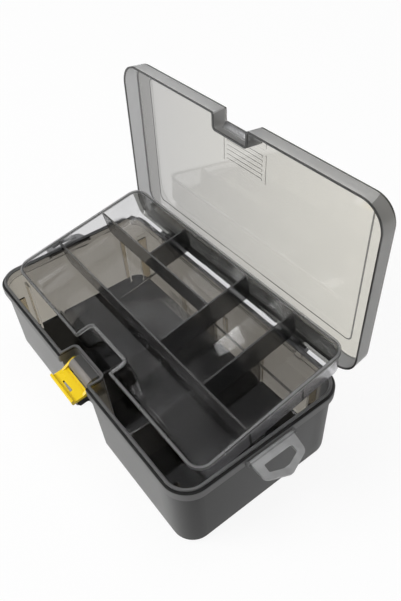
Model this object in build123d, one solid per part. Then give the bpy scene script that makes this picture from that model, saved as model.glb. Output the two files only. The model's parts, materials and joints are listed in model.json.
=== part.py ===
from build123d import *
import math
import os

# A two-layer tackle box, open, with its lift-out tray propped on the back rim
# Millimetres: X along the length, Y from the latch to the hinges, Z up from the ground

# Base box
base_height = 73.0
mouth_half_x = 130.0
mouth_half_y = 67.13
mouth_corner = 15.2
base_wall = 2.2
floor_thickness = 2.0
wall_draft = 1.1
bottom_radius = 5.3
inside_bevel = 2.0
tongue_rise = 2.0
tongue_bevel = 0.8
flange_overhang = 2.2
flange_height = 7.4
flange_bevel = 0.7

# Latch channel in the front wall
channel_half_x = 19.4
channel_foot_half_x = 24.4
channel_depth = 12.95
channel_corner = 3.0
channel_wall = 1.8
channel_edge_radius = 2.0

# Corner supports that carry the tray
support_reach = 9.0
support_thickness = 1.8
support_gap = 0.4
support_from_corner = 18.0

# Removable plates in the base
plate_thickness = 1.4
plate_height = 40.0
plate_x = 53.2
plate_inner_x = 7.6
slot_rib = 1.3
slot_depth = 1.8
slot_clearance = 0.15

# Lid
lid_depth = 14.6
lid_wall = 1.25
lid_panel = 1.6
lid_clearance = 0.35
lid_clearance_y = 0.39
lid_seat_gap = 0.3
lid_draft = 1.5
lid_top_radius = 2.4
lid_notch_half_x = 17.0
lid_notch_depth = 12.0
lid_notch_corner = 2.0
lid_notch_wall = 1.6
lid_mouth_radius = 1.0
lid_field_inset_x = 16.3
lid_field_front = 12.0
lid_field_back = 15.0
lid_field_sunk = 0.5
lid_field_corner = 5.0
lid_field_margin = 4.0
lid_open_angle = 90.8
lip_half_x = 59.5
lip_drop = 4.5
lip_gap = 0.3
lip_root = 1.0

# Thumb grip on the lid
grip_ribs = 6
grip_pitch = 3.7
grip_rib_length = 38.0
grip_rib_width = 1.5
grip_rib_height = 0.5
grip_first = 23.5
grip_root = 0.4
grip_side_x = 22.5
grip_side_width = 0.9

# Catch ledge in the lid's notch
ledge_half_x = 13.5
ledge_low = 8.2
ledge_thickness = 1.7
ledge_plate_gap = 0.5
ledge_brace = 2.4
ledge_brace_reach = 0.6

# Hinges
hinge_behind_wall = 3.58
hinge_below_lid = 2.73
hinge_barrel_radius = 2.8
hinge_pin_radius = 1.25
hinge_inner_x = 62.0
hinge_length = 30.0
hinge_lug_length = 6.0
hinge_side_gap = 0.4
hinge_run = 0.05
hinge_pin_inset = 0.5
hinge_sweep_gap = 0.35
hinge_lug_foot = 2.0
knuckle_relief = 1.2
knuckle_root_low = 0.6
knuckle_root_high = 5.6

# Latch
pivot_setback = 5.13
pivot_below_mouth = 10.2
latch_half_x = 16.4
latch_ear_thickness = 2.3
latch_ear_radius = 3.4
latch_plate_from = 6.3
latch_reach = 20.5
latch_plate_top = -1.1
latch_plate_thickness = 2.2
latch_hook_height = 2.3
latch_hook_thickness = 1.8
latch_hook_ramp = 0.3
latch_nose_bevel = 0.7
latch_arm_root = 3.0
latch_droop = 6.3
latch_pin_radius = 1.2
latch_slot_at = 15.2
latch_slot_length = 12.0
latch_slot_narrow = 0.8
latch_slot_wide = 2.0
latch_groove_at = 8.3
latch_groove_depth = 0.5
latch_groove_width = 0.8
latch_groove_margin = 1.0
barrel_radius = 5.6
barrel_side_gap = 0.6
block_foot_drop = 14.0
rest_rib_thickness = 1.8
rest_rib_height = 5.3
rest_rib_from = 7.3
rest_rib_reach = 17.2
rest_rib_nose = 1.6
rest_rib_round = 1.2
rest_rib_drop = 1.4
rest_gap = 0.35

# Strap rings on the ends
ring_half_y = 18.6
ring_shoulder_half_y = 17.4
ring_shoulder_at = 14.2
ring_reach = 20.4
ring_bar = 5.6
ring_thickness = 2.6
ring_barrel_radius = 1.7
ring_pin_radius = 1.1
ring_pin_length = 2.2
ring_lug_thickness = 2.0
ring_side_gap = 0.3
ring_droop = 17.0
ring_stand_off = 1.9
ring_below_flange_top = 4.0
ring_shoulder_radius = 5.0
ring_tip_half_y = 1.0
ring_hole_half_y = 12.0
ring_hole_tip_half_y = 2.5
ring_hole_radius = 1.4

# Lift-out tray
tray_clearance_x = 2.3
tray_clearance_y = 1.98
tray_depth = 26.0
tray_lip = 0.8
tray_lip_height = 2.0
tray_lip_bevel = 0.5
tray_wall = 1.5
tray_floor = 1.6
tray_draft = 2.2
tray_corner = 11.0
tray_bottom_radius = 7.2
tray_inside_bevel = 3.3
tray_notch_half_x = 22.96
tray_notch_depth = 14.0
tray_notch_corner = 2.5
tray_mouth_radius = 2.0
tray_divider = 1.5
tray_divider_below_rim = 1.5
long_divider_front = 42.5
long_divider_back = 89.0
cross_divider_left = -51.0
cross_divider_middle = 26.5
cross_divider_right = 78.0
tray_tilt = 10.3
tray_propped_setback = 14.02
tray_rest_gap = 0.8114
tray_nested_above_mouth = 9.37

# Places worked out from the sizes above
wall_half_x = mouth_half_x + base_wall
wall_half_y = mouth_half_y + base_wall
wall_corner = mouth_corner + base_wall
flange_top = base_height - tongue_rise
flange_bottom = flange_top - flange_height
flange_half_x = wall_half_x + flange_overhang
flange_half_y = wall_half_y + flange_overhang
flange_corner = wall_corner + flange_overhang
channel_back = -(wall_half_y - channel_depth)
lid_inner_half_x = wall_half_x + lid_clearance
lid_inner_half_y = wall_half_y + lid_clearance_y
lid_outer_half_x = lid_inner_half_x + lid_wall
lid_outer_half_y = lid_inner_half_y + lid_wall
lid_seat = flange_top + lid_seat_gap
lid_top = lid_seat + lid_depth
hinge_y = lid_outer_half_y + hinge_behind_wall
hinge_z = lid_seat - hinge_below_lid
pivot_y = pivot_setback - mouth_half_y
pivot_z = base_height - pivot_below_mouth
block_half_x = latch_half_x - latch_ear_thickness - barrel_side_gap
ring_x = flange_half_x + ring_stand_off
ring_z = flange_top - ring_below_flange_top
support_top = base_height + tray_nested_above_mouth - tray_depth - support_gap
tray_half_x = mouth_half_x - tray_clearance_x
tray_half_y = mouth_half_y - tray_clearance_y
tray_propped_y = tray_propped_setback - mouth_half_y
through = 5.0
touch = 0.01


def drawn(outline, start, end, draft=0.0):
    # A sketch drawn from one height to another, its sides leaning in by draft on the way
    way = 1 if end > start else -1
    taper = math.degrees(math.atan2(draft, abs(end - start)))
    return extrude(Pos(0, 0, start) * outline, amount=abs(end - start), dir=(0, 0, way), taper=taper)


def along_x(profile, low, high):
    # A sketch in Y and Z drawn between two places on X
    return extrude(Plane((low, 0, 0), x_dir=(0, 1, 0), z_dir=(1, 0, 0)) * profile, amount=high - low)


def block(low, high):
    # A plain block between two corners
    size = [b - a for a, b in zip(low, high)]
    middle = [(a + b) / 2 for a, b in zip(low, high)]
    return Pos(*middle) * Box(*size)


def rod_x(radius, y, z, low, high):
    # A round bar along X
    return along_x(Pos(y, z) * Circle(radius), low, high)


def both_sides(piece):
    # A piece and its mirror image across the middle of the length
    return piece + mirror(piece, Plane.YZ)


def bottom_edges(solid):
    # The edges round the lowest face
    return solid.faces().sort_by(Axis.Z)[0].edges()


def channel_void(grow=0.0):
    # The latch channel, wider at its foot than at the mouth, made larger all round by grow
    foot = channel_foot_half_x + grow
    head = channel_half_x + grow
    back = channel_back + grow
    outline = Polygon((-foot, 0), (foot, 0), (head, base_height), (-head, base_height), align=None)
    void = Pos(0, back, 0) * extrude(Plane.XZ * outline, amount=flange_half_y + through + back)
    inner = [edge for edge in void.edges() if edge.center().Y > back - touch and abs(edge.center().X) > channel_half_x]
    return fillet(inner, channel_corner + grow)


def base_block():
    # The drafted box with its rounded foot, still solid inside, cut by the channel
    mouth = RectangleRounded(2 * wall_half_x, 2 * wall_half_y, wall_corner)
    outside = drawn(mouth, base_height, 0, wall_draft)
    outside = fillet(bottom_edges(outside), bottom_radius)
    return outside - channel_void()


def rounded_mouth(solid):
    # Rounds the upright corners where the channel meets the front
    corners = [
        edge
        for edge in solid.edges()
        if abs(edge.center().X) < channel_foot_half_x + channel_corner
        and edge.center().Y < -mouth_half_y
        and abs((edge @ 1).Z - (edge @ 0).Z) > flange_height / 2
    ]
    return fillet(corners, channel_edge_radius)


def base_flange():
    # The rim that the lid lands on
    outline = RectangleRounded(2 * flange_half_x, 2 * flange_half_y, flange_corner)
    ring = drawn(outline, flange_bottom, flange_top)
    rims = ring.faces().sort_by(Axis.Z)
    ring = chamfer(rims[0].edges() + rims[-1].edges(), flange_bevel)
    mouth = RectangleRounded(2 * mouth_half_x, 2 * mouth_half_y, mouth_corner)
    ring -= drawn(mouth, flange_bottom, flange_top)
    return rounded_mouth(ring - channel_void())


def base_inside():
    # The room inside, round the channel
    mouth = RectangleRounded(2 * mouth_half_x, 2 * mouth_half_y, mouth_corner)
    inside = drawn(mouth, base_height, floor_thickness, wall_draft)
    inside = chamfer(bottom_edges(inside), inside_bevel)
    lead = RectangleRounded(
        2 * (mouth_half_x + tongue_bevel),
        2 * (mouth_half_y + tongue_bevel),
        mouth_corner + tongue_bevel,
    )
    inside += drawn(lead, base_height, base_height - 2 * tongue_bevel, 2 * tongue_bevel)
    return inside - channel_void(channel_wall)


def lip_sweep():
    # The space at the back that the lid's lip sweeps through
    reach = math.hypot(lid_wall + hinge_behind_wall, lip_drop - hinge_below_lid) + hinge_sweep_gap
    half = lip_half_x + lip_gap
    sweep = rod_x(reach, hinge_y, hinge_z, -half, half)
    return sweep + block((-half, hinge_y - reach, hinge_z), (half, hinge_y, base_height + through))


def knuckle_room():
    # The relief in the flange behind each of the lid's knuckles
    clear = hinge_barrel_radius + knuckle_relief
    low = (hinge_inner_x + hinge_lug_length, hinge_y - clear, hinge_z - clear)
    high = (hinge_inner_x + hinge_length - hinge_lug_length, hinge_y, base_height)
    return both_sides(block(low, high))


def hinge_lugs():
    # Two lugs for each hinge, standing out of the flange
    arm = Pos(hinge_y, hinge_z) * Circle(hinge_barrel_radius)
    foot = Polygon(
        (wall_half_y, flange_bottom - hinge_lug_foot),
        (wall_half_y, flange_top - tongue_rise),
        (hinge_y, hinge_z),
        align=None,
    )
    profile = make_hull(arm.edges() + foot.edges())
    lugs = []
    for start in (hinge_inner_x, hinge_inner_x + hinge_length - hinge_lug_length):
        lug = along_x(profile, start, start + hinge_lug_length)
        lugs.append(lug - rod_x(hinge_pin_radius, hinge_y, hinge_z, start, start + hinge_lug_length))
    return both_sides(lugs[0] + lugs[1])


def pivot_block():
    # The block in the channel that the latch turns on, with a rib on each side that the open latch rests on
    back = channel_back + channel_wall / 2
    barrel = Pos(pivot_y, pivot_z) * Circle(barrel_radius)
    root = Polygon(
        (pivot_y, pivot_z),
        (back, pivot_z + barrel_radius),
        (back, pivot_z - block_foot_drop),
        align=None,
    )
    core = along_x(make_hull(barrel.edges() + root.edges()), -block_half_x, block_half_x)
    bore = rod_x(latch_pin_radius + hinge_run, pivot_y, pivot_z, -latch_half_x, latch_half_x)
    return core + rest_ribs() - bore


def rest_ribs():
    # A rib at each side under the open latch, level with its underside
    under = latch_plate_top - latch_plate_thickness - rest_gap
    nose = Polygon(
        (-rest_rib_from, under),
        (-rest_rib_reach, under),
        (-rest_rib_reach + rest_rib_nose, under - rest_rib_height),
        (-rest_rib_from, under - rest_rib_height),
        align=None,
    )
    nose = fillet(nose.vertices().sort_by(Axis.X)[:2], rest_rib_round)
    top = pivot_z - latch_ear_radius - rest_rib_drop
    low = top - rest_rib_height
    front = pivot_y - rest_rib_from - rest_rib_nose
    back = channel_back + channel_wall / 2
    stem = Polygon((front, low), (back, low), (back, top), (front, top), align=None)
    profile = Pos(pivot_y, pivot_z) * Rot(0, 0, latch_droop) * nose + stem
    near = block_half_x + barrel_side_gap + rest_gap
    return both_sides(along_x(profile, near, near + rest_rib_thickness))


def tray_supports():
    # Two upright ribs at each corner, their tops under the nested tray
    low = floor_thickness / 2
    x = mouth_half_x - support_from_corner
    y = mouth_half_y - support_from_corner
    end_rib = block(
        (mouth_half_x - support_reach, y - support_thickness / 2, low),
        (wall_half_x, y + support_thickness / 2, support_top),
    )
    side_rib = block(
        (x - support_thickness / 2, mouth_half_y - support_reach, low),
        (x + support_thickness / 2, wall_half_y, support_top),
    )
    corner = both_sides(end_rib + side_rib)
    return corner + mirror(corner, Plane.XZ)


def inside_wall_y(height):
    # How far the back wall's inner face stands from the middle at a height
    return mouth_half_y - wall_draft * (base_height - height) / (base_height - floor_thickness)


def plate_slots():
    # A pair of ribs on each long wall for every place where a plate can stand
    top = floor_thickness + plate_height
    low = floor_thickness / 2
    back = inside_wall_y(floor_thickness)
    near = plate_thickness / 2 + slot_clearance
    ribs = []
    for site in (-plate_x, -plate_inner_x, plate_inner_x, plate_x):
        beside_channel = abs(site) < channel_foot_half_x
        front = channel_back + channel_wall if beside_channel else -back
        root = channel_back + channel_wall / 2 if beside_channel else -wall_half_y
        for start in (site - near - slot_rib, site + near):
            ribs.append(block((start, back - slot_depth, low), (start + slot_rib, wall_half_y, top)))
            ribs.append(block((start, root, low), (start + slot_rib, front + slot_depth, top)))
    return ribs[0] + ribs[1:]


def ring_lugs():
    # A pair of lugs on each end flange that holds a ring's pins
    face = flange_half_x - flange_overhang / 2
    arm = Pos(ring_x, ring_z) * Circle(ring_barrel_radius)
    foot = Pos((face + ring_x) / 2, ring_z) * Rectangle(ring_x - face, 2 * ring_barrel_radius)
    lug = extrude(Plane.XZ * (arm + foot), amount=ring_lug_thickness / 2, both=True)
    at = ring_half_y + ring_side_gap + ring_lug_thickness / 2
    hole = Cylinder(ring_pin_radius + hinge_run, ring_lug_thickness, rotation=(90, 0, 0))
    lug -= Pos(ring_x, 0, ring_z) * hole
    pair = Pos(0, at, 0) * lug + Pos(0, -at, 0) * lug
    return both_sides(pair)


def base_box():
    # The base: one moulding with its flange, channel, hinge lugs, supports and slots
    whole = base_block()
    body = whole - base_inside()
    body += base_flange()
    body += (tray_supports() + plate_slots()) & whole
    body -= lip_sweep() + knuckle_room()
    return body + hinge_lugs() + pivot_block() + ring_lugs()


def base_plate(x):
    # One removable plate, dropped into its slots
    top = floor_thickness + plate_height
    bevel = bottom_radius - base_wall
    beside_channel = abs(x) < channel_foot_half_x
    back = inside_wall_y(floor_thickness) - slot_clearance
    front = channel_back + channel_wall + slot_clearance if beside_channel else -back
    outline = Polygon(
        (front, top),
        (front, floor_thickness + bevel),
        (front + bevel, floor_thickness),
        (back - bevel, floor_thickness),
        (back, floor_thickness + bevel),
        (back, top),
        align=None,
    )
    return along_x(outline, x - plate_thickness / 2, x + plate_thickness / 2)


def lid_outline(grow):
    # The lid's outline with its notch for the latch, made larger all round by grow
    plain = RectangleRounded(
        2 * (lid_inner_half_x + grow),
        2 * (lid_inner_half_y + grow),
        wall_corner + lid_clearance + grow,
    )
    half = lid_notch_half_x + (lid_wall - grow) / lid_wall * lid_notch_wall
    back = -lid_outer_half_y + lid_notch_depth + (lid_wall - grow) / lid_wall * lid_notch_wall
    front = -lid_outer_half_y - through
    corner = lid_notch_corner + (lid_wall - grow)
    notch = Pos(0, (front + back) / 2) * RectangleRounded(2 * half, back - front, corner)
    cut = plain - notch
    mouth = [v for v in cut.vertices() if abs(abs(v.X) - half) < touch and v.Y < -lid_inner_half_y + touch]
    return fillet(mouth, lid_mouth_radius + grow)


def lid_shell():
    # The closed lid: a shallow tray upside down with a sunk field and a thumb grip
    outside = drawn(lid_outline(lid_wall), lid_seat, lid_top, lid_draft)
    outside = fillet(outside.faces().sort_by(Axis.Z)[-1].edges(), lid_top_radius)
    inside_top = lid_top - lid_panel
    share = (inside_top - lid_seat) / lid_depth
    lid = outside - drawn(lid_outline(0.0), lid_seat, inside_top, lid_draft * share)
    lid -= lid_field()
    lid += thumb_grip() + catch_ledge() + lid_lip() + lid_knuckles()
    return lid


def lid_field():
    # The shallow field that sinks the lid's top
    half_x = lid_inner_half_x - lid_field_inset_x
    front = -lid_outer_half_y + lid_field_front
    back = lid_outer_half_y - lid_field_back
    room = lid_notch_half_x + lid_notch_wall + lid_field_margin
    outline = Pos(0, (front + back) / 2) * RectangleRounded(2 * half_x, back - front, lid_field_corner)
    outline -= Pos(0, front) * RectangleRounded(2 * room, 2 * (lid_notch_wall + lid_field_margin), lid_notch_corner)
    return drawn(outline, lid_top - lid_field_sunk, lid_top + through)


def thumb_grip():
    # Ribs across the lid behind the notch, between two side lines
    floor = lid_top - lid_field_sunk
    first = -lid_outer_half_y + grip_first
    length = grip_ribs * grip_pitch
    middle = first + (length - grip_pitch) / 2
    ribs = Pos(-grip_side_x, middle) * Rectangle(grip_side_width, length)
    ribs += Pos(grip_side_x, middle) * Rectangle(grip_side_width, length)
    for row in range(grip_ribs):
        ribs += Pos(0, first + row * grip_pitch) * Rectangle(grip_rib_length, grip_rib_width)
    return drawn(ribs, floor - grip_root, floor + grip_rib_height)


def catch_ledge():
    # The ledge on the notch's back wall that the latch hooks over
    wall = -lid_outer_half_y + lid_notch_depth
    low = lid_seat + ledge_low
    front = pivot_y + latch_plate_top + ledge_plate_gap
    root = wall + lid_notch_wall / 2
    bar = Polygon(
        (root, low - ledge_brace),
        (root, low + ledge_thickness),
        (front, low + ledge_thickness),
        (front, low),
        (wall - ledge_brace_reach, low - ledge_brace),
        align=None,
    )
    return along_x(bar, -ledge_half_x, ledge_half_x)


def lid_lip():
    # The lip that hangs behind the base between the hinges
    return block(
        (-lip_half_x, lid_inner_half_y, lid_seat - lip_drop),
        (lip_half_x, lid_outer_half_y, lid_seat + lip_root),
    )


def lid_knuckles():
    # One knuckle for each hinge, between the base's two lugs
    barrel = Pos(hinge_y, hinge_z) * Circle(hinge_barrel_radius)
    wall = lid_outer_half_y - lid_wall / 2
    foot = Polygon(
        (lid_outer_half_y, lid_seat + knuckle_root_low),
        (lid_outer_half_y, lid_seat + knuckle_root_high),
        (wall, lid_seat + knuckle_root_high),
        align=None,
    )
    profile = make_hull(barrel.edges() + foot.edges())
    low = hinge_inner_x + hinge_lug_length + hinge_side_gap
    high = hinge_inner_x + hinge_length - hinge_lug_length - hinge_side_gap
    knuckle = along_x(profile, low, high)
    knuckle -= rod_x(hinge_pin_radius + hinge_run, hinge_y, hinge_z, low, high)
    return both_sides(knuckle)


def hinge_pins():
    # The two pins, pressed into the base's lugs
    low = hinge_inner_x + hinge_pin_inset
    high = hinge_inner_x + hinge_length - hinge_pin_inset
    return both_sides(rod_x(hinge_pin_radius, hinge_y, hinge_z, low, high))


def latch_clip():
    # The latch, drawn level from its pivot and then let down to its rest
    top = latch_plate_top
    under = top - latch_plate_thickness
    ear = Circle(latch_ear_radius)
    root = Pos(-latch_plate_from - latch_arm_root, (top + under) / 2) * Rectangle(latch_arm_root, latch_plate_thickness)
    arm = make_hull(ear.edges() + root.edges())
    plate = Polygon(
        (-latch_plate_from, under),
        (-latch_plate_from, top),
        (-latch_reach + latch_hook_thickness + latch_hook_ramp, top),
        (-latch_reach + latch_hook_thickness, top + latch_hook_height),
        (-latch_reach, top + latch_hook_height),
        (-latch_reach, under),
        align=None,
    )
    plate = chamfer(plate.vertices().sort_by(Axis.X)[:2], latch_nose_bevel)
    clip = along_x(plate, -latch_half_x, latch_half_x)
    clip += both_sides(along_x(arm, latch_half_x - latch_ear_thickness, latch_half_x))
    clip -= rod_x(latch_pin_radius, 0, 0, -latch_half_x, latch_half_x)
    clip -= latch_slot(top, under) + latch_groove(top)
    return Pos(0, pivot_y, pivot_z) * Rot(latch_droop, 0, 0) * clip


def latch_slot(top, under):
    # The tapered slot through the latch's plate
    half = latch_slot_length / 2
    slot = Polygon(
        (-half, -latch_slot_at - latch_slot_narrow / 2),
        (-half, -latch_slot_at + latch_slot_narrow / 2),
        (half, -latch_slot_at + latch_slot_wide / 2),
        (half, -latch_slot_at - latch_slot_wide / 2),
        align=None,
    )
    return drawn(slot, under, top)


def latch_groove(top):
    # The line sunk along the plate's inner edge
    half = latch_half_x - latch_ear_thickness - latch_groove_margin
    return block(
        (-half, -latch_groove_at - latch_groove_width / 2, top - latch_groove_depth),
        (half, -latch_groove_at + latch_groove_width / 2, top),
    )


def latch_pin():
    # The pin that the latch turns on
    return rod_x(latch_pin_radius, pivot_y, pivot_z, -latch_half_x, latch_half_x)


def ring_outline():
    # A ring seen flat: straight at the hinge, shouldered and pointed outside
    outer = Polygon(
        (0, -ring_half_y),
        (ring_shoulder_at, -ring_shoulder_half_y),
        (ring_reach, -ring_tip_half_y),
        (ring_reach, ring_tip_half_y),
        (ring_shoulder_at, ring_shoulder_half_y),
        (0, ring_half_y),
        align=None,
    )
    shoulders = [corner for corner in outer.vertices() if abs(corner.X - ring_shoulder_at) < touch]
    outer = fillet(shoulders, ring_shoulder_radius)
    hole = Polygon(
        (ring_bar, -ring_hole_half_y),
        (ring_shoulder_at - ring_bar / 2, -ring_hole_half_y),
        (ring_reach - ring_bar, -ring_hole_tip_half_y),
        (ring_reach - ring_bar, ring_hole_tip_half_y),
        (ring_shoulder_at - ring_bar / 2, ring_hole_half_y),
        (ring_bar, ring_hole_half_y),
        align=None,
    )
    return outer - fillet(hole.vertices(), ring_hole_radius)


def strap_ring():
    # The right ring: a flat loop on a barrel with a pin at each end
    plate = drawn(ring_outline(), -ring_thickness / 2, ring_thickness / 2)
    barrel = Cylinder(ring_barrel_radius, 2 * ring_half_y, rotation=(90, 0, 0))
    pins = Cylinder(ring_pin_radius, 2 * (ring_half_y + ring_pin_length), rotation=(90, 0, 0))
    ring = plate + barrel + pins
    return Pos(ring_x, 0, ring_z) * Rot(0, ring_droop, 0) * ring


def tray_form(inset, low, draft):
    # The tray's drafted form, level, with its rim at zero
    top = RectangleRounded(
        2 * (tray_half_x - tray_lip - inset),
        2 * (tray_half_y - tray_lip - inset),
        tray_corner - inset,
    )
    return drawn(top, 0, low, draft)


def tray_notch(grow, low):
    # The notch for the latch channel, wider below, made larger all round by grow
    draft = tray_draft * -low / tray_depth
    front = -tray_half_y - through - tray_lip
    half = tray_notch_half_x + tray_lip + grow
    back = -tray_half_y + tray_notch_depth + tray_lip + grow
    corner = tray_notch_corner + tray_lip + grow
    middle = Pos(0, (front + back) / 2)
    outline = middle * RectangleRounded(2 * (half + draft), back - front + 2 * draft, corner + draft)
    return drawn(outline, low, 0, draft)


def tray_lip_ring():
    # The rolled rim round the tray and its notch
    outer = RectangleRounded(2 * tray_half_x, 2 * tray_half_y, tray_corner + tray_lip)
    front = -tray_half_y - through
    back = -tray_half_y + tray_notch_depth
    outer -= Pos(0, (front + back) / 2) * RectangleRounded(2 * tray_notch_half_x, back - front, tray_notch_corner)
    mouth = [v for v in outer.vertices() if v.Y < -tray_half_y + touch and abs(abs(v.X) - tray_notch_half_x) < touch]
    outer = fillet(mouth, tray_mouth_radius)
    rim = drawn(outer, 0, -tray_lip_height)
    return chamfer(rim.faces().sort_by(Axis.Z)[-1].edges(), tray_lip_bevel)


def tray_dividers():
    # Two long dividers and three cross dividers between the walls
    low = -tray_depth + tray_floor / 2
    high = -tray_divider_below_rim
    half = tray_divider / 2
    front = -tray_half_y
    ends = tray_half_x - tray_lip - tray_wall / 2 - tray_draft
    back = tray_half_y - tray_lip - tray_wall / 2 - tray_draft
    first = front + long_divider_front
    second = front + long_divider_back
    runs = block((-ends, first - half, low), (ends, first + half, high))
    runs += block((-ends, second - half, low), (cross_divider_middle, second + half, high))
    for x, start in ((cross_divider_left, second), (cross_divider_middle, first), (cross_divider_right, first)):
        runs += block((x - half, start, low), (x + half, back, high))
    return runs


def level_tray():
    # The tray, level, its middle over the origin and its rim at zero
    outside = tray_form(0.0, -tray_depth, tray_draft)
    outside = fillet(bottom_edges(outside), tray_bottom_radius)
    shell = outside - tray_notch(0.0, -tray_depth) + tray_lip_ring()
    depth_inside = tray_depth - tray_floor
    share = depth_inside / tray_depth
    room = tray_form(tray_wall, -depth_inside, tray_draft * share)
    room = chamfer(bottom_edges(room), tray_inside_bevel) - tray_notch(tray_wall, -depth_inside)
    return shell - room + (tray_dividers() & outside)


def propped_height():
    # How high the tray's front rim stands when the round of its back foot lies over the base's rim
    tilt = math.radians(tray_tilt)
    lean = math.atan2(tray_draft, tray_depth)
    foot_run = tray_bottom_radius * math.tan(math.pi / 4 - lean / 2)
    foot_y = 2 * tray_half_y - tray_lip - tray_draft - foot_run
    foot_z = tray_bottom_radius - tray_depth
    foot_rise = foot_y * math.sin(tilt) + foot_z * math.cos(tilt)
    return base_height + tray_bottom_radius + tray_rest_gap - foot_rise


def propped_tray():
    # The tray at rest, its back raised on the base's rim
    level = Pos(0, tray_half_y, 0) * level_tray()
    return Pos(0, tray_propped_y, propped_height()) * Rot(tray_tilt, 0, 0) * level


def opened(piece):
    # A piece of the lid swung from closed to open
    hinge = Axis((0, hinge_y, hinge_z), (1, 0, 0))
    return piece.rotate(hinge, -lid_open_angle)


nodes = {
    "base_box": base_box(),
    "base_divider_left": base_plate(-plate_inner_x),
    "base_divider_right": base_plate(plate_x),
    "hinge_pins": hinge_pins(),
    "lid_shell": opened(lid_shell()),
    "lift_out_tray": propped_tray(),
    "latch_clip": latch_clip(),
    "latch_pin": latch_pin(),
    "strap_ring_right": strap_ring(),
    "strap_ring_left": mirror(strap_ring(), Plane.YZ),
}

os.makedirs("parts", exist_ok=True)
for name, shape in nodes.items():
    export_step(shape, f"parts/{name}.step")
    print(name, round(shape.volume), "mm3", shape.is_valid)
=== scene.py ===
import json
import math

import bmesh
import bpy
from mathutils import Matrix, Vector

# An open tackle box in smoked plastic, with its tray propped on the back rim
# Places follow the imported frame, in metres
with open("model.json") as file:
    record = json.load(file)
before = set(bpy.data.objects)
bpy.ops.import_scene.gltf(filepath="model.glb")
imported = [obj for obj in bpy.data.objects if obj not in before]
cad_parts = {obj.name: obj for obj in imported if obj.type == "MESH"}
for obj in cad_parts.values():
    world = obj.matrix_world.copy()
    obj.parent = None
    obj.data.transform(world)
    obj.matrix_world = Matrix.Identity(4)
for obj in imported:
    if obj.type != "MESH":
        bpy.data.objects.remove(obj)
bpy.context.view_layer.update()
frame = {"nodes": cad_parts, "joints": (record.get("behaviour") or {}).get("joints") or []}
nodes = frame["nodes"]
print("frame loaded", sorted(nodes))

mm = 0.001
grainDepth = 0.2 * mm  # how far the moulding grain stands out


def jointPlace(name):
    for joint in frame["joints"]:
        if joint["name"] == name:
            return Vector(joint["pos_m"])
    raise ValueError(name)


# Camera at the photograph's viewing angle, with its place in millimetres
cameraView = {
    "place": (292.44, -155.82, 414.10),
    "right": (0.60798, 0.79236, -0.05030),
    "down": (0.53124, -0.45307, -0.71589),
    "ahead": (-0.59004, 0.40853, -0.69639),
    "focalPixels": 616.81,
    "picture": (401, 601),
    "sensor": 36.0,
    "nearest": 0.01,  # metres
}


def placeCamera(view):
    data = bpy.data.cameras.new("photoCamera")
    camera = bpy.data.objects.new("photoCamera", data)
    bpy.context.scene.collection.objects.link(camera)
    right = Vector(view["right"])
    up = -Vector(view["down"])
    back = -Vector(view["ahead"])
    turn = Matrix((right, up, back)).transposed().to_4x4()
    camera.matrix_world = Matrix.Translation(Vector(view["place"]) * mm) @ turn
    data.sensor_width = view["sensor"]
    data.lens = view["sensor"] * view["focalPixels"] / max(view["picture"])
    data.clip_start = view["nearest"]
    bpy.context.scene.camera = camera


placeCamera(cameraView)
print("camera placed")


class Wire:
    # A socket that sums and compares as a number does
    def __init__(self, sheet, socket):
        self.sheet = sheet
        self.socket = socket

    def maths(self, operation, *values):
        return self.sheet.wire("ShaderNodeMath", {"operation": operation}, dict(enumerate(values)))

    def __add__(self, other):
        return self.maths("ADD", self, other)

    def __radd__(self, other):
        return self.maths("ADD", other, self)

    def __sub__(self, other):
        return self.maths("SUBTRACT", self, other)

    def __rsub__(self, other):
        return self.maths("SUBTRACT", other, self)

    def __mul__(self, other):
        return self.maths("MULTIPLY", self, other)

    def __rmul__(self, other):
        return self.maths("MULTIPLY", other, self)

    def __gt__(self, other):
        return self.maths("GREATER_THAN", self, other)

    def __lt__(self, other):
        return self.maths("LESS_THAN", self, other)

    def __abs__(self):
        return self.maths("ABSOLUTE", self)

    def root(self):
        return self.maths("SQRT", self)

    def smaller(self, other):
        return self.maths("MINIMUM", self, other)

    def larger(self, other):
        return self.maths("MAXIMUM", self, other)

    def between(self, low, high):
        # 1 from low to high, 0 elsewhere
        return (self > low) * (self < high)

    def rising(self, low, high):
        # 0 below low, 1 above high, straight between
        sockets = {"Value": self, "From Min": low, "From Max": high}
        return self.sheet.wire("ShaderNodeMapRange", {}, sockets)


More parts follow.
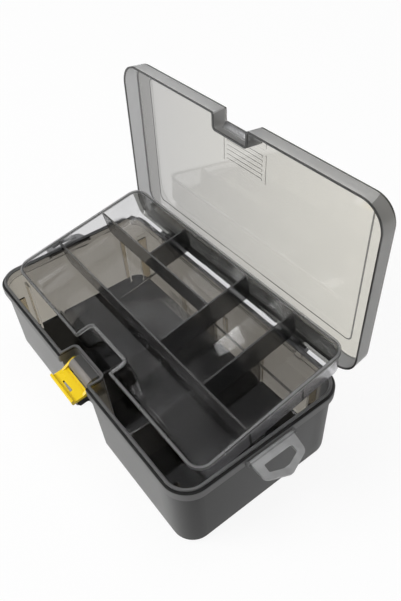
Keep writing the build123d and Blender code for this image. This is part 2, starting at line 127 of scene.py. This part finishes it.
class Sheet:
    # The nodes of one material, or of the world
    def __init__(self, holder, outputKind="ShaderNodeOutputMaterial"):
        holder.use_nodes = True
        self.holder = holder
        self.outputKind = outputKind
        self.tree = holder.node_tree
        self.tree.nodes.clear()

    def add(self, kind, settings, sockets):
        node = self.tree.nodes.new(kind)
        for key, value in settings.items():
            setattr(node, key, value)
        for key, value in sockets.items():
            if isinstance(value, Wire):
                self.tree.links.new(value.socket, node.inputs[key])
            else:
                node.inputs[key].default_value = value
        return node

    def wire(self, kind, settings, sockets, output=0):
        return Wire(self, self.add(kind, settings, sockets).outputs[output])

    def place(self):
        return self.wire("ShaderNodeTexCoord", {}, {}, "Object")

    def turned(self, vector, centre, degrees):
        # Coordinates swung about a line along X, so that a tilted piece reads level
        sockets = {"Vector": vector, "Center": centre, "Angle": math.radians(degrees)}
        return self.wire("ShaderNodeVectorRotate", {"rotation_type": "X_AXIS"}, sockets)

    def split(self, vector):
        parted = self.add("ShaderNodeSeparateXYZ", {}, {"Vector": vector})
        return [Wire(self, socket) for socket in parted.outputs]

    def fromOutline(self, x, y, outline):
        # How far a point lies outside a rounded oblong
        halfX, halfY, corner = outline
        overX = (abs(x) - (halfX - corner)).larger(0.0)
        overY = (abs(y) - (halfY - corner)).larger(0.0)
        return (overX * overX + overY * overY).root() - corner

    def noise(self, vector, scale, detail=2.0, rough=0.5):
        sockets = {"Vector": vector, "Scale": scale, "Detail": detail, "Roughness": rough}
        return self.wire("ShaderNodeTexNoise", {}, sockets)

    def grained(self, vector, scale, detail, strength):
        # Fine grain, for a shader's normal
        height = self.noise(vector, scale, detail)
        sockets = {"Height": height, "Strength": strength, "Distance": grainDepth}
        return self.wire("ShaderNodeBump", {}, sockets)

    def blend(self, mask, first, second):
        # Colours mixed by a mask, in the Mix node's colour sockets
        return self.wire("ShaderNodeMix", {"data_type": "RGBA"}, {0: mask, 6: first, 7: second}, 2)

    def painted(self, colour, *coats):
        # Coats of colour over each other, each within its mask
        for mask, coat in coats:
            colour = self.blend(mask, colour, coat)
        return colour

    def rays(self, *names):
        # 1 for rays of the named kinds, 0 for the others
        path = self.add("ShaderNodeLightPath", {}, {})
        kinds = [Wire(self, path.outputs[name]) for name in names]
        return sum(kinds[1:], kinds[0]).smaller(1.0)

    def shader(self, sockets):
        return self.wire("ShaderNodeBsdfPrincipled", {}, sockets)

    def layered(self, mask, first, second):
        # Shaders mixed by a mask
        return self.wire("ShaderNodeMixShader", {}, {0: mask, 1: first, 2: second})

    def finish(self, shader):
        self.add(self.outputKind, {}, {"Surface": shader})
        return self.holder


def grey(level, tint=(1.0, 1.0, 1.0)):
    return (level * tint[0], level * tint[1], level * tint[2], 1.0)


def clouded(rough, cloud):
    # Roughness is its least value and what the clouding adds to it
    least, swing = rough
    return least + cloud * swing


def dress(material, *names):
    for name in names:
        slots = nodes[name].data.materials
        slots.clear()
        slots.append(material)


# Base box, frosted outside and clear inside, with a darker flange, a painted shade line at the step and a
# paler rim round the mouth, and painted light and shade where marked below
# A pair of places is where a colour begins and ends, and a Share is how clear the plastic is
baseLook = {
    # Painted light and shade: the front is painted lighter to the left and darker to the right
    "frontLeft": grey(0.42, (1.0, 1.0, 0.99)),
    "frontRight": grey(0.29, (1.0, 1.0, 0.99)),
    "frontRun": (-110.0 * mm, 40.0 * mm),
    "end": grey(0.03),  # painted shade on the end with the right ring
    "endBack": grey(0.18),
    "endX": (104.0 * mm, 131.0 * mm),
    "endRun": (-70.0 * mm, 70.0 * mm),
    "flange": grey(0.26),
    "flangeZ": (63.5 * mm, 70.7 * mm),
    # Painted shade: a dark line at the step below the rim
    "step": grey(0.02),
    "stepZ": (70.7 * mm, 71.6 * mm),
    "rim": grey(0.22, (0.99, 0.99, 1.0)),
    "barrel": grey(0.44, (1.0, 0.94, 0.88)),  # rounded front of the block that holds the latch's pin, painted light in a warm tint
    # Painted shade on the block behind its lit front
    "blockDark": grey(0.13),
    "blockHalf": 14.0 * mm,
    "blockBack": -56.6 * mm,
    "blockLow": 44.0 * mm,
    "blockSplit": -62.6 * mm,
    "rib": grey(0.01),  # painted shade under the open latch
    "ribX": (14.2 * mm, 16.5 * mm),
    "inside": grey(0.71, (1.0, 0.88, 0.68)),
    # Painted shade on the inside of the ring end
    "insideEnd": grey(0.06),
    "insideEndX": (108.0 * mm, 116.0 * mm),
    # Painted shade: the base's floor is black where it rests on the ground
    "floor": grey(0.0),
    "floorTop": 3.4 * mm,
    "skinShare": 0.60,
    "skinIor": 1.3,
    "skinRough": (0.42, 0.05),
    "innerIor": 1.42,
    "innerRough": (0.06, 0.05),
    "cloudScale": 18.0,
    "grain": (900.0, 3.0, 0.25),  # scale, detail, strength
    "middle": (130.9 * mm, 68.1 * mm, 16.3 * mm),  # half length, half width and corner, midway in a wall
    "footRound": 5.3 * mm,
    "footLean": 0.75,  # how fast the rounded foot draws in
    "channelHead": 20.3 * mm,  # half the width of the latch's channel at the rim
    "channelLean": 5.0 / 73.0,  # how fast its sides draw in
    "channelBack": -55.5 * mm,
    "height": 73.0 * mm,
}


def basePlastic(look):
    sheet = Sheet(bpy.data.materials.new("smokedBase"))
    place = sheet.place()
    x, y, z = sheet.split(place)
    cloud = sheet.noise(place, look["cloudScale"])

    # Where the frosted skin is
    foot = (look["footRound"] - z).larger(0.0) * look["footLean"]
    channel = abs(x) - (look["height"] - z) * look["channelLean"] < look["channelHead"]
    outside = sheet.fromOutline(x, y, look["middle"]) + foot > 0.0
    outside = outside.larger(channel * (y < look["channelBack"]))
    outside = outside.larger(z > look["stepZ"][0])

    atBlock = (abs(x) < look["blockHalf"]) * (y < look["blockBack"]) * (z > look["blockLow"])
    atRib = abs(x).between(*look["ribX"]) * (y < look["blockBack"])
    # Painted light and shade along the front, lighter to the left and darker to the right
    front = sheet.blend(x.rising(*look["frontRun"]), look["frontLeft"], look["frontRight"])
    colour = sheet.painted(
        front,
        # Painted shade on the ring end, lighter towards the back
        (x.rising(*look["endX"]), sheet.blend(y.rising(*look["endRun"]), look["end"], look["endBack"])),
        (z.between(*look["flangeZ"]), look["flange"]),
        # Painted shade line at the step
        (z.between(*look["stepZ"]), look["step"]),
        (z > look["stepZ"][1], look["rim"]),
        # Painted light on the block's rounded front and painted shade behind it
        (atBlock, sheet.blend(y > look["blockSplit"], look["barrel"], look["blockDark"])),
        # Painted shade on the ribs under the latch
        (atRib, look["rib"]),
    )
    skin = sheet.shader({
        "Base Color": colour,
        "Roughness": clouded(look["skinRough"], cloud),
        "Transmission Weight": look["skinShare"],
        "IOR": look["skinIor"],
        "Normal": sheet.grained(place, *look["grain"]),
    })
    # Painted shade on the inside of the ring end
    inside = sheet.blend(x.rising(*look["insideEndX"]), look["inside"], look["insideEnd"])
    clear = sheet.shader({
        # Painted shade on the floor of the base
        "Base Color": sheet.blend(z < look["floorTop"], inside, look["floor"]),
        "Roughness": clouded(look["innerRough"], cloud),
        "Transmission Weight": 1.0,
        "IOR": look["innerIor"],
    })
    return sheet.finish(sheet.layered(outside, clear, skin))


dress(basePlastic(baseLook), "base_box")
print("base dressed")


# Lid, a clear panel in frosted walls, with places as they are when it is shut
lidLook = {
    "openAngle": 90.8,
    # Painted light and shade: the panel is painted darker to the left and lighter to the right
    "panelLeft": grey(0.55, (1.0, 0.99, 0.965)),
    "panelRight": grey(0.75, (1.0, 0.975, 0.895)),
    "panelRun": (-110.0 * mm, 110.0 * mm),
    "panelLow": 83.6 * mm,  # where the walls end and the panel begins
    # Painted shade in a band along the panel's left margin
    "margin": grey(0.38, (1.0, 0.99, 0.97)),
    "marginX": (-132.5 * mm, -116.6 * mm),
    "fieldLine": grey(0.06),  # painted shade round the sunk field
    "field": (116.25 * mm, 57.47 * mm, 5.0 * mm),
    "fieldMiddle": -1.5 * mm,
    "fieldLineHalf": 0.6 * mm,
    "fieldZ": 84.6 * mm,
    "notchRoom": 22.6 * mm,
    # Painted shade on the grip's ribs
    "gripLine": grey(0.22),
    "gripX": 23.2 * mm,
    "gripY": (-48.6 * mm, -27.5 * mm),
    "gripZ": (85.44 * mm, 85.86 * mm),
    # Painted light and shade on the walls: lighter to the left and darker to the right, and on the front
    # wall lighter higher up and darker to the right
    "sideLeft": grey(0.64),
    "sideRight": grey(0.34),
    "wallRun": (-130.0 * mm, -15.0 * mm),
    "frontLow": grey(0.95),
    "frontHigh": grey(1.0),
    "frontRight": grey(0.84),
    "frontY": -69.3 * mm,
    "frontZ": (73.0 * mm, 83.0 * mm),
    # Painted shade on the catch ledge in the notch
    "ledge": grey(0.26, (0.98, 0.98, 1.0)),
    "ledgeHalf": 13.6 * mm,
    "ledgeY": (-62.9 * mm, -59.1 * mm),
    "ledgeZ": (77.0 * mm, 81.4 * mm),
    # Painted shade along the moulded edges
    "edge": grey(0.05),
    "edgeFrom": -0.8 * mm,
    "edgeZ": (83.0 * mm, 84.4 * mm),
    "crownFrom": 0.3 * mm,
    "crownZ": 84.8 * mm,
    "mouthZ": 72.1 * mm,
    "inner": (132.55 * mm, 69.72 * mm, 17.75 * mm),  # half length, half width and corner
    "panelShare": 0.96,
    "panelRough": (0.03, 0.03),
    "wallShare": 0.78,
    "wallRough": (0.28, 0.03),
    "cloudScale": 12.0,
    "grain": (700.0, 3.0, 0.2),
}


def lidPlastic(look):
    sheet = Sheet(bpy.data.materials.new("smokedLid"))
    place = sheet.turned(sheet.place(), jointPlace("lid_hinge"), look["openAngle"])
    x, y, z = sheet.split(place)
    cloud = sheet.noise(place, look["cloudScale"])

    # Moulded edges and the lip below the mouth, painted dark as painted shade
    beyond = sheet.fromOutline(x, y, look["inner"])
    edge = (beyond > look["edgeFrom"]) * z.between(*look["edgeZ"])
    edge = edge.larger((beyond > look["crownFrom"]) * (z > look["crownZ"]))
    edge = edge.larger(z < look["mouthZ"])

    field = sheet.fromOutline(x, y - look["fieldMiddle"], look["field"])
    atLine = (abs(field) < look["fieldLineHalf"]) * (z > look["fieldZ"]) * (abs(x) > look["notchRoom"])
    atGrip = (abs(x) < look["gripX"]) * y.between(*look["gripY"]) * z.between(*look["gripZ"])
    # Panel painted darker to the left and lighter to the right
    top = sheet.painted(
        sheet.blend(x.rising(*look["panelRun"]), look["panelLeft"], look["panelRight"]),
        # Painted shade in the left margin
        (x.between(*look["marginX"]), look["margin"]),
        # Painted shade line round the sunk field
        (atLine, look["fieldLine"]),
        # Painted shade on the grip
        (atGrip, look["gripLine"]),
    )
    panel = sheet.shader({
        "Base Color": sheet.blend(edge, top, look["edge"]),
        "Roughness": clouded(look["panelRough"], cloud),
        "Transmission Weight": look["panelShare"],
    })

    # Walls painted lighter to the left and darker to the right
    along = x.rising(*look["wallRun"])
    front = sheet.blend(z.rising(*look["frontZ"]), look["frontLow"], look["frontHigh"])
    atLedge = (abs(x) < look["ledgeHalf"]) * y.between(*look["ledgeY"]) * z.between(*look["ledgeZ"])
    side = sheet.painted(
        sheet.blend(along, look["sideLeft"], look["sideRight"]),
        (y < look["frontY"], sheet.blend(along, front, look["frontRight"])),
        # Painted shade on the catch ledge
        (atLedge, look["ledge"]),
    )
    wall = sheet.shader({
        "Base Color": sheet.blend(edge, side, look["edge"]),
        "Roughness": clouded(look["wallRough"], cloud),
        "Transmission Weight": look["wallShare"],
        "Normal": sheet.grained(place, *look["grain"]),
    })
    return sheet.finish(sheet.layered(z < look["panelLow"], panel, wall))


dress(lidPlastic(lidLook), "lid_shell")
print("lid dressed")


# Tray, in patches of weaker and stronger reflection that stand in for mottled reflections as painted
# reflection, with dividers painted dark as shade and a rolled rim
# Its places are measured along the tilted tray, from the middle of its front rim
trayLook = {
    "tilt": 10.3,
    "rimFront": (0.0, -53.11 * mm, 77.93 * mm),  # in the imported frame
    "clear": grey(0.72, (0.99, 0.99, 1.0)),
    "clearRough": (0.02, 0.04),
    # Painted reflection: two strengths of reflection, mixed in patches, stand in for mottled reflections
    "glossIors": (1.32, 1.56),
    "patches": (13.0, 1.0, 0.4),  # scale, detail, roughness
    "patchRun": (0.46, 0.56),
    # Painted shade on the back wall
    "backWall": grey(0.22, (1.0, 1.0, 0.96)),
    "backFrom": 122.4 * mm,  # in Y
    # Painted light: the right end is painted paler and less clear
    "end": grey(0.75, (0.98, 0.97, 1.0)),
    "endFrom": 122.6 * mm,  # in X
    "endShare": 0.88,
    "endRough": (0.10, 0.05),
    # Painted shade on the dividers, with a painted highlight along their top edges
    "divider": grey(0.16),
    "dividerEdge": grey(0.50),
    "dividerShare": 0.90,
    "dividerRough": (0.10, 0.05),
    "dividerHalf": 0.8 * mm,
    "dividerTop": -1.3 * mm,
    "edgeDepth": 0.5 * mm,
    "runs": (42.5 * mm, 89.0 * mm),  # long dividers, in Y
    "crosses": (-51.0 * mm, 26.5 * mm, 78.0 * mm),  # short ones, in X
    "rim": grey(0.62),
    # Painted shade lines along the rim's inner and outer edges
    "rimLine": grey(0.20),
    "rimShare": 0.80,
    "rimRough": (0.25, 0.05),
    "rimInside": (-2.47 * mm, -1.9 * mm),
    "rimOutside": -0.45 * mm,
    "rimLow": -2.1 * mm,
    "outline": (127.7 * mm, 65.15 * mm, 11.8 * mm),
    "cloudScale": 14.0,
}


def trayPlastic(look):
    sheet = Sheet(bpy.data.materials.new("clearTray"))
    front = Vector(look["rimFront"])
    place = sheet.turned(sheet.place(), front, -look["tilt"])
    x, y, z = sheet.split(place)
    y = y - front.y
    z = z - front.z
    cloud = sheet.noise(place, look["cloudScale"])

    half = look["dividerHalf"]
    nearRun = [abs(y - run) < half for run in look["runs"]]
    nearCross = [(abs(x - cross) < half) * (y > look["runs"][0] - half) for cross in look["crosses"]]
    atDivider = nearRun[0]
    for near in nearRun[1:] + nearCross:
        atDivider = atDivider.larger(near)
    atDivider = atDivider * (z < look["dividerTop"])
    atRim = (z > look["rimLow"]) * (1.0 - atDivider)
    beyond = sheet.fromOutline(x, y - look["outline"][1], look["outline"])
    # Painted shade lines along the rim's edges
    line = (beyond > look["rimOutside"]).larger(beyond.between(*look["rimInside"]))

    # Painted shade on the back wall
    tint = sheet.blend(y > look["backFrom"], look["clear"], look["backWall"])
    dull, bright = [
        sheet.shader({
            "Base Color": tint,
            "Roughness": clouded(look["clearRough"], cloud),
            "Transmission Weight": 1.0,
            "IOR": index,
        })
        for index in look["glossIors"]
    ]
    # Painted light on the right end
    milky = sheet.shader({
        "Base Color": look["end"],
        "Roughness": clouded(look["endRough"], cloud),
        "Transmission Weight": look["endShare"],
    })
    # Painted highlight along the dividers' top edges, over their painted shade
    edge = z > look["dividerTop"] - look["edgeDepth"]
    divider = sheet.shader({
        "Base Color": sheet.blend(edge, look["divider"], look["dividerEdge"]),
        "Roughness": clouded(look["dividerRough"], cloud),
        "Transmission Weight": look["dividerShare"],
    })
    rim = sheet.shader({
        "Base Color": sheet.blend(line, look["rim"], look["rimLine"]),
        "Roughness": clouded(look["rimRough"], cloud),
        "Transmission Weight": look["rimShare"],
    })
    # Painted reflection in patches
    patches = sheet.noise(place, *look["patches"]).rising(*look["patchRun"])
    body = sheet.layered(patches, dull, bright)
    for mask, coat in ((x > look["endFrom"], milky), (atDivider, divider), (atRim, rim)):
        body = sheet.layered(mask, body, coat)
    return sheet.finish(body)


dress(trayPlastic(trayLook), "lift_out_tray")
print("tray dressed")


# Removable plates in the base
plateLook = {
    "colour": grey(0.24, (1.0, 0.95, 0.88)),
    "share": 0.9,
    "rough": (0.10, 0.1),
    "cloudScale": 30.0,
}


def platePlastic(look):
    sheet = Sheet(bpy.data.materials.new("smokedPlate"))
    cloud = sheet.noise(sheet.place(), look["cloudScale"])
    return sheet.finish(sheet.shader({
        "Base Color": look["colour"],
        "Roughness": clouded(look["rough"], cloud),
        "Transmission Weight": look["share"],
    }))


dress(platePlastic(plateLook), "base_divider_left", "base_divider_right")
print("plates dressed")


# Strap rings, milky in pale and dark clouds
ringLook = {
    "pale": grey(0.40, (0.98, 0.99, 1.0)),
    "dark": grey(0.22),
    "paleRun": (0.35, 0.65),
    "share": 0.35,
    "rough": (0.25, 0.1),
    "cloudScale": 60.0,
    "grain": (900.0, 2.0, 0.08),
}


def ringPlastic(look):
    sheet = Sheet(bpy.data.materials.new("milkyRing"))
    place = sheet.place()
    cloud = sheet.noise(place, look["cloudScale"])
    return sheet.finish(sheet.shader({
        "Base Color": sheet.blend(cloud.rising(*look["paleRun"]), look["dark"], look["pale"]),
        "Roughness": clouded(look["rough"], cloud),
        "Transmission Weight": look["share"],
        "Normal": sheet.grained(place, *look["grain"]),
    }))


dress(ringPlastic(ringLook), "strap_ring_left", "strap_ring_right")
print("rings dressed")


# Latch, yellow, with painted shade in its slot, widening to one side
latchLook = {
    "droop": 6.3,
    "deep": (0.82, 0.57, 0.008, 1.0),
    "bright": (0.88, 0.63, 0.010, 1.0),
    "rough": (0.22, 0.1),
    "cloudScale": 80.0,
    "grain": (1200.0, 2.0, 0.06),
    # Painted shade in the slot
    "slot": (0.06, 0.035, 0.01, 1.0),
    "slotBelow": 15.2 * mm,  # from the pin
    "slotHalf": 6.0 * mm,
    "slotNarrow": 0.5 * mm,
    "slotFlare": 0.6 * mm,
    "slotLine": 0.1 * mm,
}


def latchPlastic(look):
    sheet = Sheet(bpy.data.materials.new("yellowLatch"))
    place = sheet.place()
    pin = jointPlace("latch_pivot")
    x, y, z = sheet.split(sheet.turned(place, pin, -look["droop"]))
    cloud = sheet.noise(place, look["cloudScale"])
    half = look["slotHalf"]
    # Painted shade in the slot, wider to one side
    width = look["slotNarrow"] + x.rising(-half, half) * look["slotFlare"]
    slot = (abs(y - (pin.y - look["slotBelow"])) < width) * (abs(x) < half + look["slotLine"])
    yellow = sheet.blend(cloud, look["deep"], look["bright"])
    return sheet.finish(sheet.shader({
        "Base Color": sheet.blend(slot, yellow, look["slot"]),
        "Roughness": clouded(look["rough"], cloud),
        "Normal": sheet.grained(place, *look["grain"]),
    }))


dress(latchPlastic(latchLook), "latch_clip")
print("latch dressed")


# Steel pins of the latch and the hinges
pinLook = {
    "colour": grey(0.45),
    "rough": (0.25, 0.15),
    "streakScale": 400.0,
}


def pinSteel(look):
    sheet = Sheet(bpy.data.materials.new("pinSteel"))
    streak = sheet.noise(sheet.place(), look["streakScale"])
    return sheet.finish(sheet.shader({
        "Base Color": look["colour"],
        "Metallic": 1.0,
        "Roughness": clouded(look["rough"], streak),
    }))


dress(pinSteel(pinLook), "latch_pin", "hinge_pins")
print("pins dressed")


# Floor, light and world, with lamps in metres and watts
studio = {
    "floorSize": 8.0,
    "floorDrop": 0.2 * mm,  # keeps it clear of the box's foot
    "floorColour": grey(0.86),
    "floorShadow": 0.09,  # share of the floor that takes light and shade
    "white": grey(1.0),
    "whiteStrength": 1.0,  # of the background as it is seen
    "worldStrength": 0.10,  # of the light from all round
    "lampAim": (0.0, 0.0, 60.0 * mm),
    "lamps": {
        "keyLamp": {"place": (-1.6, -3.2, 3.0), "size": 2.6, "power": 185.0},
        "topLamp": {"place": (0.3, 0.9, 4.5), "size": 3.3, "power": 90.0},
        "glintLamp": {"place": (-0.49, 0.166, 0.905), "size": 0.07, "power": 0.09},
        "windowLamp": {"place": (-0.98, 0.096, 1.22), "size": 0.35, "power": 0.25},
    },
}


def layFloor(look):
    mesh = bpy.data.meshes.new("floor")
    shape = bmesh.new()
    bmesh.ops.create_grid(shape, x_segments=1, y_segments=1, size=look["floorSize"] / 2)
    shape.to_mesh(mesh)
    shape.free()
    floor = bpy.data.objects.new("floor", mesh)
    bpy.context.scene.collection.objects.link(floor)
    floor.location.z = -look["floorDrop"]

    sheet = Sheet(bpy.data.materials.new("paleFloor"))
    seen = sheet.rays("Is Camera Ray", "Is Glossy Ray", "Is Transmission Ray")
    lit = sheet.wire("ShaderNodeBsdfDiffuse", {}, {"Color": look["floorColour"]})
    glow = sheet.wire("ShaderNodeEmission", {}, {"Color": look["white"], "Strength": look["whiteStrength"]})
    mesh.materials.append(sheet.finish(sheet.layered(seen * (1.0 - look["floorShadow"]), lit, glow)))


def lightWorld(look):
    world = bpy.data.worlds.new("studio")
    bpy.context.scene.world = world
    sheet = Sheet(world, "ShaderNodeOutputWorld")
    seen = sheet.rays("Is Camera Ray", "Is Transmission Ray")
    soft, white = [
        sheet.wire("ShaderNodeBackground", {}, {"Color": look["white"], "Strength": strength})
        for strength in (look["worldStrength"], look["whiteStrength"])
    ]
    sheet.finish(sheet.layered(seen, soft, white))


def hangLamps(look):
    aim = Vector(look["lampAim"])
    for name, lamp in look["lamps"].items():
        data = bpy.data.lights.new(name, "AREA")
        data.shape = "SQUARE"
        data.size = lamp["size"]
        data.energy = lamp["power"]
        item = bpy.data.objects.new(name, data)
        bpy.context.scene.collection.objects.link(item)
        place = Vector(lamp["place"])
        turn = (aim - place).to_track_quat("-Z", "Y").to_matrix().to_4x4()
        item.matrix_world = Matrix.Translation(place) @ turn


layFloor(studio)
lightWorld(studio)
hangLamps(studio)
bpy.context.scene.view_settings.view_transform = "Standard"
print("floor and light set")
